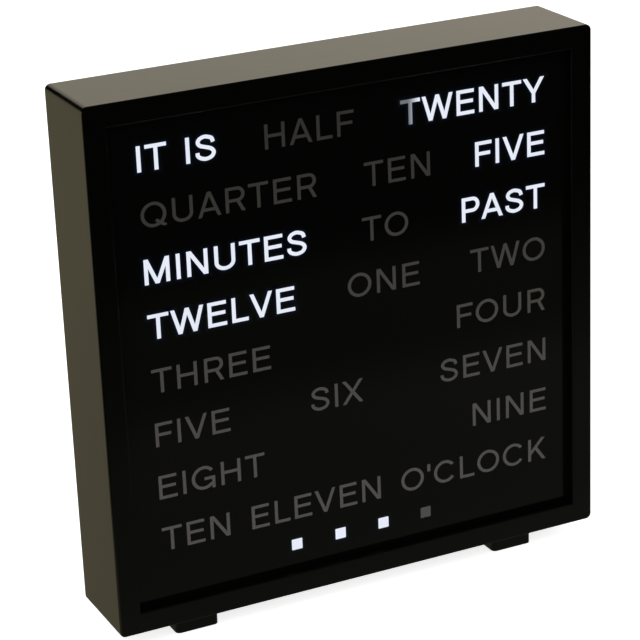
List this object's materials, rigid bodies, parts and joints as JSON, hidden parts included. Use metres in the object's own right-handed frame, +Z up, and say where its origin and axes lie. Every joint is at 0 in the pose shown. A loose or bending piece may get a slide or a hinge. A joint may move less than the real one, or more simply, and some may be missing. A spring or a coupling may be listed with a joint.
{
  "type": "word clock",
  "caption": "Flat square desk clock that shows the time in lit words behind a glossy panel, in a deep-framed case on two feet, with setting buttons and a keyhole at the back.",
  "frame": {"origin": "under the middle of the case, in the plane on which the feet stand", "axes": "+X to the clock's right as seen from the front, +Y to the back, +Z up; the panel faces -Y"},
  "size_m": [0.165, 0.03, 0.171],
  "materials": {
    "case_plastic": "fine satin moulded texture",
    "tape_foam": "matt foam",
    "panel_gloss": "polished",
    "diffuser_film": "frosted",
    "grid_white": "matt moulded",
    "board_laminate": "solder mask",
    "lamp_body": "moulded, clear eye",
    "chip_plastic": "moulded epoxy",
    "metal_can": "drawn can",
    "resistor_body": "glazed",
    "holder_plastic": "moulded",
    "cell_steel": "stamped",
    "clip_steel": "tinned",
    "socket_plastic": "moulded",
    "pin_metal": "nickel plated",
    "switch_plastic": "moulded",
    "plunger_plastic": "moulded",
    "button_plastic": "satin",
    "screw_steel": "zinc plated",
    "cover_plastic": "fine matt moulded texture",
    "foot_plastic": "satin"
  },
  "bodies": {
    "clock": {"housing": "case_plastic", "panel_tape": "tape_foam", "face_panel": "panel_gloss", "diffuser_sheet": "diffuser_film", "light_grid": "grid_white", "led_board": "board_laminate", "word_lamps": "lamp_body", "minute_lamps": "lamp_body", "clock_chip": "chip_plastic", "lamp_driver_chips": "chip_plastic", "clock_crystal": "metal_can", "supply_capacitor": "metal_can", "voltage_regulator": "chip_plastic", "chip_resistors": "resistor_body", "cell_holder": "holder_plastic", "backup_cell": "cell_steel", "cell_clip": "clip_steel", "power_socket": "socket_plastic", "socket_pin": "pin_metal", "hour_switch": "switch_plastic", "minute_switch": "switch_plastic", "board_screws": "screw_steel", "rear_cover": "cover_plastic", "cover_screws": "screw_steel", "left_foot": "foot_plastic", "right_foot": "foot_plastic", "foot_screws": "screw_steel"},
    "hour_key": {"hour_button": "button_plastic", "hour_plunger": "plunger_plastic"},
    "minute_key": {"minute_button": "button_plastic", "minute_plunger": "plunger_plastic"}
  },
  "joints": [
    {"name": "hour_press", "type": "slide", "parent": "clock", "child": "hour_key", "axis": [0, -1, 0], "range_m": [0, 0.0008], "stiffness_N_per_m": 1500},
    {"name": "minute_press", "type": "slide", "parent": "clock", "child": "minute_key", "axis": [0, -1, 0], "range_m": [0, 0.0008], "stiffness_N_per_m": 1500}
  ]
}
